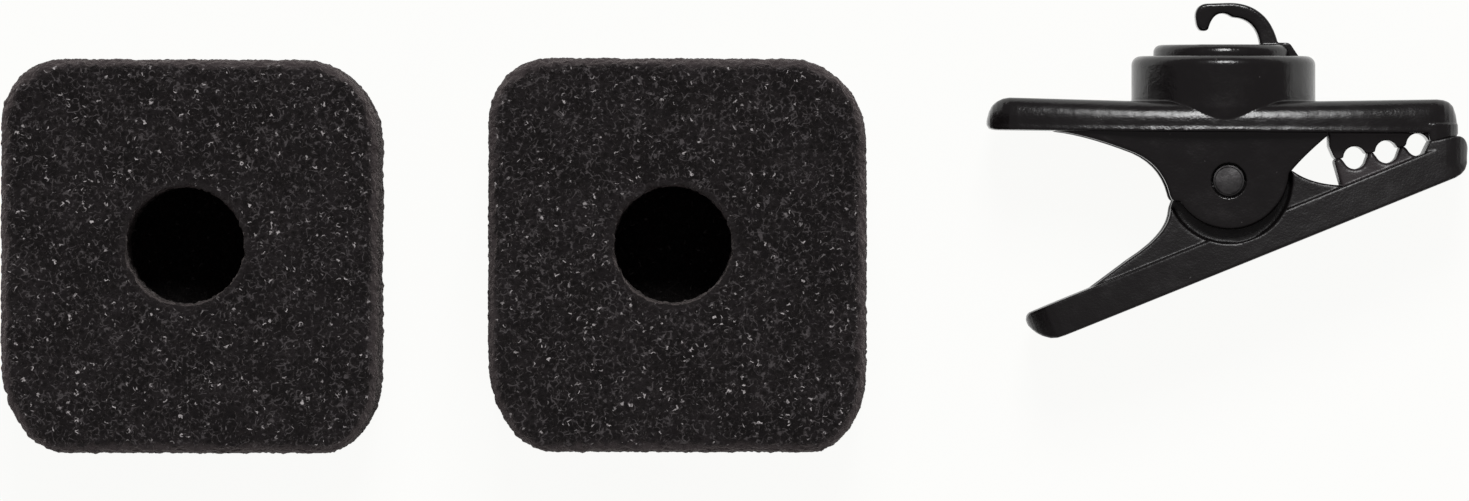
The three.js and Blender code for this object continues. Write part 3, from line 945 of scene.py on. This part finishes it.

# %% [markdown]
# ## Moulded plastic finish
# The clip is black acetal or nylon straight from the tool: satin, with a very fine grain, faint ripples, a
# few specks of dust and dull patches where fingers have rubbed. The lower lever comes from a tool with a
# duller, grainier wall. The teeth of both levers lie in the plates' shade, and painted light makes them
# grey. Grain and ripples are bump, and the patches change the roughness and lift the colour a touch.

# %% Satin and matt black plastic
PLASTIC_BLACK = (0.0060, 0.0049, 0.0052, 1)
PLASTIC_WORN = (0.0120, 0.0103, 0.0107, 1)
DUST_GREY = (0.09, 0.085, 0.085, 1)
# painted light: the teeth lie in the plates' shade and are painted paler
TOOTH_PAINTED_LIGHT = (0.045, 0.038, 0.040, 1)
TOOTH_START = hinge.x / MM + JAW_START[0] - 0.5
RIPPLE_DEPTH = 0.03


def plastic_finish(name, gloss, grain_depth):
    """Black plastic, gloss giving the roughness where it is clean and where it is rubbed."""
    plastic = Finish(name)
    smears = plastic.noise(plastic.mm, 0.4, 5, 0.62).outputs["Fac"]
    worn = plastic.ramp(smears, 0.50, 0.76)
    colour = plastic.mix(worn, PLASTIC_BLACK, PLASTIC_WORN)
    dust_cells = plastic.cells(plastic.shift(plastic.mm, 4.0, 0.2), 0.9)
    dust = plastic.ramp(dust_cells.outputs["Distance"], 0.02, 0.05, 1, 0)
    colour = plastic.mix(dust, colour, DUST_GREY)
    # painted light on the teeth, which lie in shade under the plates
    place = plastic.add("ShaderNodeSeparateXYZ", {"Vector": plastic.mm})
    across = plastic.maths("ABSOLUTE", plastic.maths("SUBTRACT", place.outputs["Z"], hinge.z / MM), 0.0)
    between = plastic.ramp(across, TOOTH_HALF_WIDTH + 0.2, TOOTH_HALF_WIDTH + 0.8, 1, 0)
    in_jaw = plastic.ramp(place.outputs["X"], TOOTH_START - 0.3, TOOTH_START)
    colour = plastic.mix(plastic.maths("MULTIPLY", between, in_jaw), colour, TOOTH_PAINTED_LIGHT)
    rough = plastic.ramp(smears, 0.4, 0.8, *gloss)
    grain = plastic.noise(plastic.mm, 9.0, 3).outputs["Fac"]
    ripple = plastic.noise(plastic.mm, 1.1, 2).outputs["Fac"]
    relief = plastic.bump(ripple, RIPPLE_DEPTH, plastic.bump(grain, grain_depth))
    plastic.set(Base_Color=colour, Roughness=rough, Normal=relief, Specular_IOR_Level=0.5)
    return plastic.material


polished = plastic_finish("satin_black_plastic", (0.20, 0.30), 0.010)
eroded = plastic_finish("matt_black_plastic", (0.34, 0.44), 0.012)
for piece, finish in ((upper_lever, polished), (lower_lever, eroded), (cable_hook, polished)):
    dress(piece, finish)
print("plastic finish on levers and hook")

# %% [markdown]
# ## Steel finishes
# The pin is plain steel, dulled by handling, and the spring is bright drawn wire. Both are metallic, with
# their scratches from a noise, which is wide on the pin and squeezed along Y on the wire.


# %% Dull pin and drawn wire
def steel_finish(name, light, dark, roughness, stretch):
    steel = Finish(name)
    drawn = steel.add("ShaderNodeMapping", {"Vector": steel.mm, "Scale": stretch}).outputs[0]
    scratches = steel.noise(drawn, 4.0, 4, 0.6).outputs["Fac"]
    colour = steel.mix(steel.ramp(scratches, 0.3, 0.7), dark, light)
    rough = steel.ramp(scratches, 0.3, 0.7, roughness + 0.12, roughness)
    steel.set(Base_Color=colour, Metallic=1.0, Roughness=rough, Normal=steel.bump(scratches, 0.03))
    return steel.material


PIN_LIGHT, PIN_DARK = (0.105, 0.102, 0.103, 1), (0.055, 0.053, 0.054, 1)
WIRE_LIGHT, WIRE_DARK = (0.62, 0.6, 0.58, 1), (0.35, 0.34, 0.33, 1)
dress(pin, steel_finish("dull_pin_steel", PIN_LIGHT, PIN_DARK, 0.40, (0.4, 0.4, 0.4)))
dress(spring, steel_finish("drawn_spring_wire", WIRE_LIGHT, WIRE_DARK, 0.25, (1, 3, 1)))
print("steel on pin and spring")

# %% [markdown]
# ## Tying the pieces to the frame
# Each piece stands for its CAD node and rides on that node's body, and the table lists beside it the
# material slot of the record. The spring has one leg on each lever, so it rides on neither body.

# %% Bodies, slots and replaced nodes
ties = [
    (windscreens["left"], "left_screen", "windscreen_left", "foam"),
    (windscreens["right"], "right_screen", "windscreen_right", "foam"),
    (upper_lever, "clip_body", "upper_lever", "clip_plastic"),
    (pin, "clip_body", "hinge_pin", "pin_steel"),
    (spring, None, "torsion_spring", "spring_steel"),
    (lower_lever, "lower_jaw", "lower_lever", "clip_plastic"),
    (cable_hook, "cable_rotor", "cable_hook", "clip_plastic"),
]
for piece, body, node, slot in ties:
    if body:
        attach(piece, body)
    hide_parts(node)
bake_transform(spring)
print(len(ties), "pieces stand for", len(frame["nodes"]), "CAD nodes")
